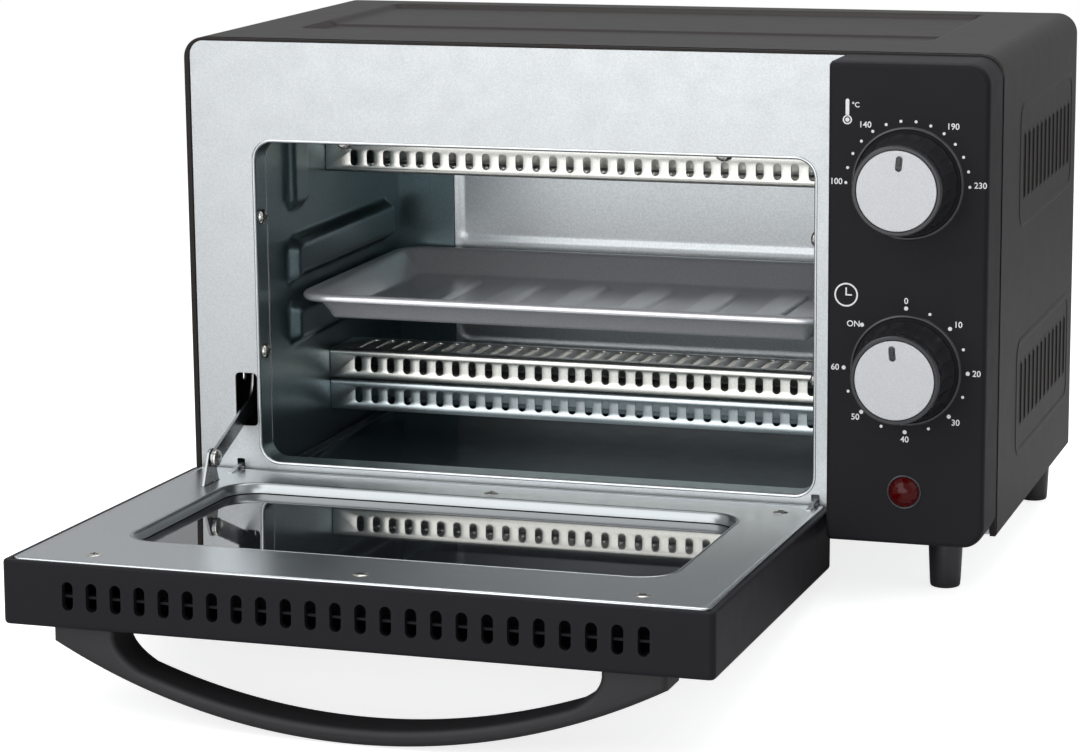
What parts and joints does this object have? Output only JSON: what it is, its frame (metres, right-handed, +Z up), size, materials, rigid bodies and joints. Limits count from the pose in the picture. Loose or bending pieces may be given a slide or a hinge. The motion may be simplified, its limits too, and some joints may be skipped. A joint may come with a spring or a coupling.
{
  "type": "toaster oven",
  "caption": "Compact countertop toaster oven with a drop-down glass door, slotted heater guards, sliding baking tray, crumb tray, thermostat and timer knobs.",
  "frame": {"origin": "middle of the bounding box's bottom, with the door open: the box's lowest point is the handle's bow, 27.5 mm below the soles of the feet", "axes": "+X to the right seen from the front, +Y from the front to the back, +Z up"},
  "size_m": [0.36, 0.3804, 0.2525],
  "materials": {
    "shell_paint": "satin black-brown stove paint on thin steel",
    "galvanised_steel": "satin light grey galvanised steel with a fine grain",
    "liner_steel": "satin grey steel, slightly blue-green",
    "guard_steel": "bright galvanised steel",
    "rod_steel": "dull dark grey",
    "ceramic": "off-white ceramic",
    "black_plastic": "fine matt texture",
    "knob_plastic": "satin black",
    "knob_cap": "fine satin silver",
    "door_glass": "clear dark tinted glass",
    "tray_coating": "grey non-stick coating, satin",
    "crumb_tray_steel": "dark smooth coating",
    "lever_steel": "zinc plated, satin",
    "spring_steel": "zinc plated wire",
    "screw_steel": "zinc plated, bright",
    "switch_housing": "tan moulded resin",
    "lamp_holder_white": "off-white",
    "lamp_red": "dark red, clear and faceted"
  },
  "bodies": {
    "case": {"outer_shell": "shell_paint", "base_plate": "galvanised_steel", "rear_panel": "galvanised_steel", "front_panel": "galvanised_steel", "control_panel": "black_plastic", "foot_front_left": "black_plastic", "foot_front_right": "black_plastic", "foot_rear_left": "black_plastic", "foot_rear_right": "black_plastic", "cavity_left_wall": "liner_steel", "cavity_right_wall": "liner_steel", "cavity_ceiling": "liner_steel", "upper_guard": "guard_steel", "lower_guard_cover": "guard_steel", "lower_guard_base": "guard_steel", "upper_heater_rod": "rod_steel", "upper_insulator_left": "ceramic", "upper_insulator_right": "ceramic", "lower_heater_rod": "rod_steel", "lower_insulator_left": "ceramic", "lower_insulator_right": "ceramic", "screw_left_upper": "screw_steel", "screw_left_lower": "screw_steel", "screw_right_upper": "screw_steel", "screw_right_lower": "screw_steel", "screw_top_left": "screw_steel", "screw_top_right": "screw_steel", "thermostat_body": "switch_housing", "timer_body": "switch_housing", "lamp_lens": "lamp_red", "lamp_holder": "lamp_holder_white", "cord_gland": "black_plastic", "door_spring": "spring_steel", "spring_anchor": "galvanised_steel"},
    "door": {"door_frame": "black_plastic", "door_inner_plate": "galvanised_steel", "door_glass": "door_glass", "door_handle": "black_plastic", "door_bracket": "lever_steel", "arm_rivet": "lever_steel", "handle_screw_left": "screw_steel", "handle_screw_right": "screw_steel", "door_screw_1": "screw_steel", "door_screw_2": "screw_steel", "door_screw_3": "screw_steel", "door_screw_4": "screw_steel", "door_screw_5": "screw_steel"},
    "lever": {"door_arm": "lever_steel"},
    "thermostat": {"thermostat_knob": "knob_plastic", "thermostat_knob_cap": "knob_cap", "thermostat_shaft": "lever_steel"},
    "timer": {"timer_knob": "knob_plastic", "timer_knob_cap": "knob_cap", "timer_shaft": "lever_steel"},
    "tray": {"baking_tray": "tray_coating"},
    "crumbs": {"crumb_tray": "crumb_tray_steel"}
  },
  "joints": [
    {"name": "door_hinge", "type": "hinge", "parent": "case", "child": "door", "pos_m": [0, -0.00085, 0.05969], "axis": [-1, 0, 0], "range_deg": [0, 88.75], "deforming": ["door_spring"]},
    {"name": "arm_pivot", "type": "hinge", "parent": "door", "child": "lever", "pos_m": [-0.157, -0.03137, 0.07269], "axis": [-1, 0, 0], "range_deg": [-83, 0]},
    {"name": "thermostat_turn", "type": "hinge", "parent": "case", "child": "thermostat", "pos_m": [0.1471, -0.03835, 0.20289], "axis": [0, 1, 0], "range_deg": [-95.8, 86.2]},
    {"name": "timer_turn", "type": "hinge", "parent": "case", "child": "timer", "pos_m": [0.1471, -0.03835, 0.12639], "axis": [0, 1, 0], "range_deg": [-40, 275]},
    {"name": "tray_slide", "type": "slide", "parent": "case", "child": "tray", "axis": [0, 1, 0], "range_m": [-0.145, 0]},
    {"name": "crumb_tray_lift", "type": "slide", "parent": "case", "child": "crumbs", "axis": [0, 0, 1], "range_m": [0, 0.0115]}
  ],
  "couplings": [
    {"joint": "arm_pivot", "follows": "door_hinge", "ratio": -0.91}
  ]
}
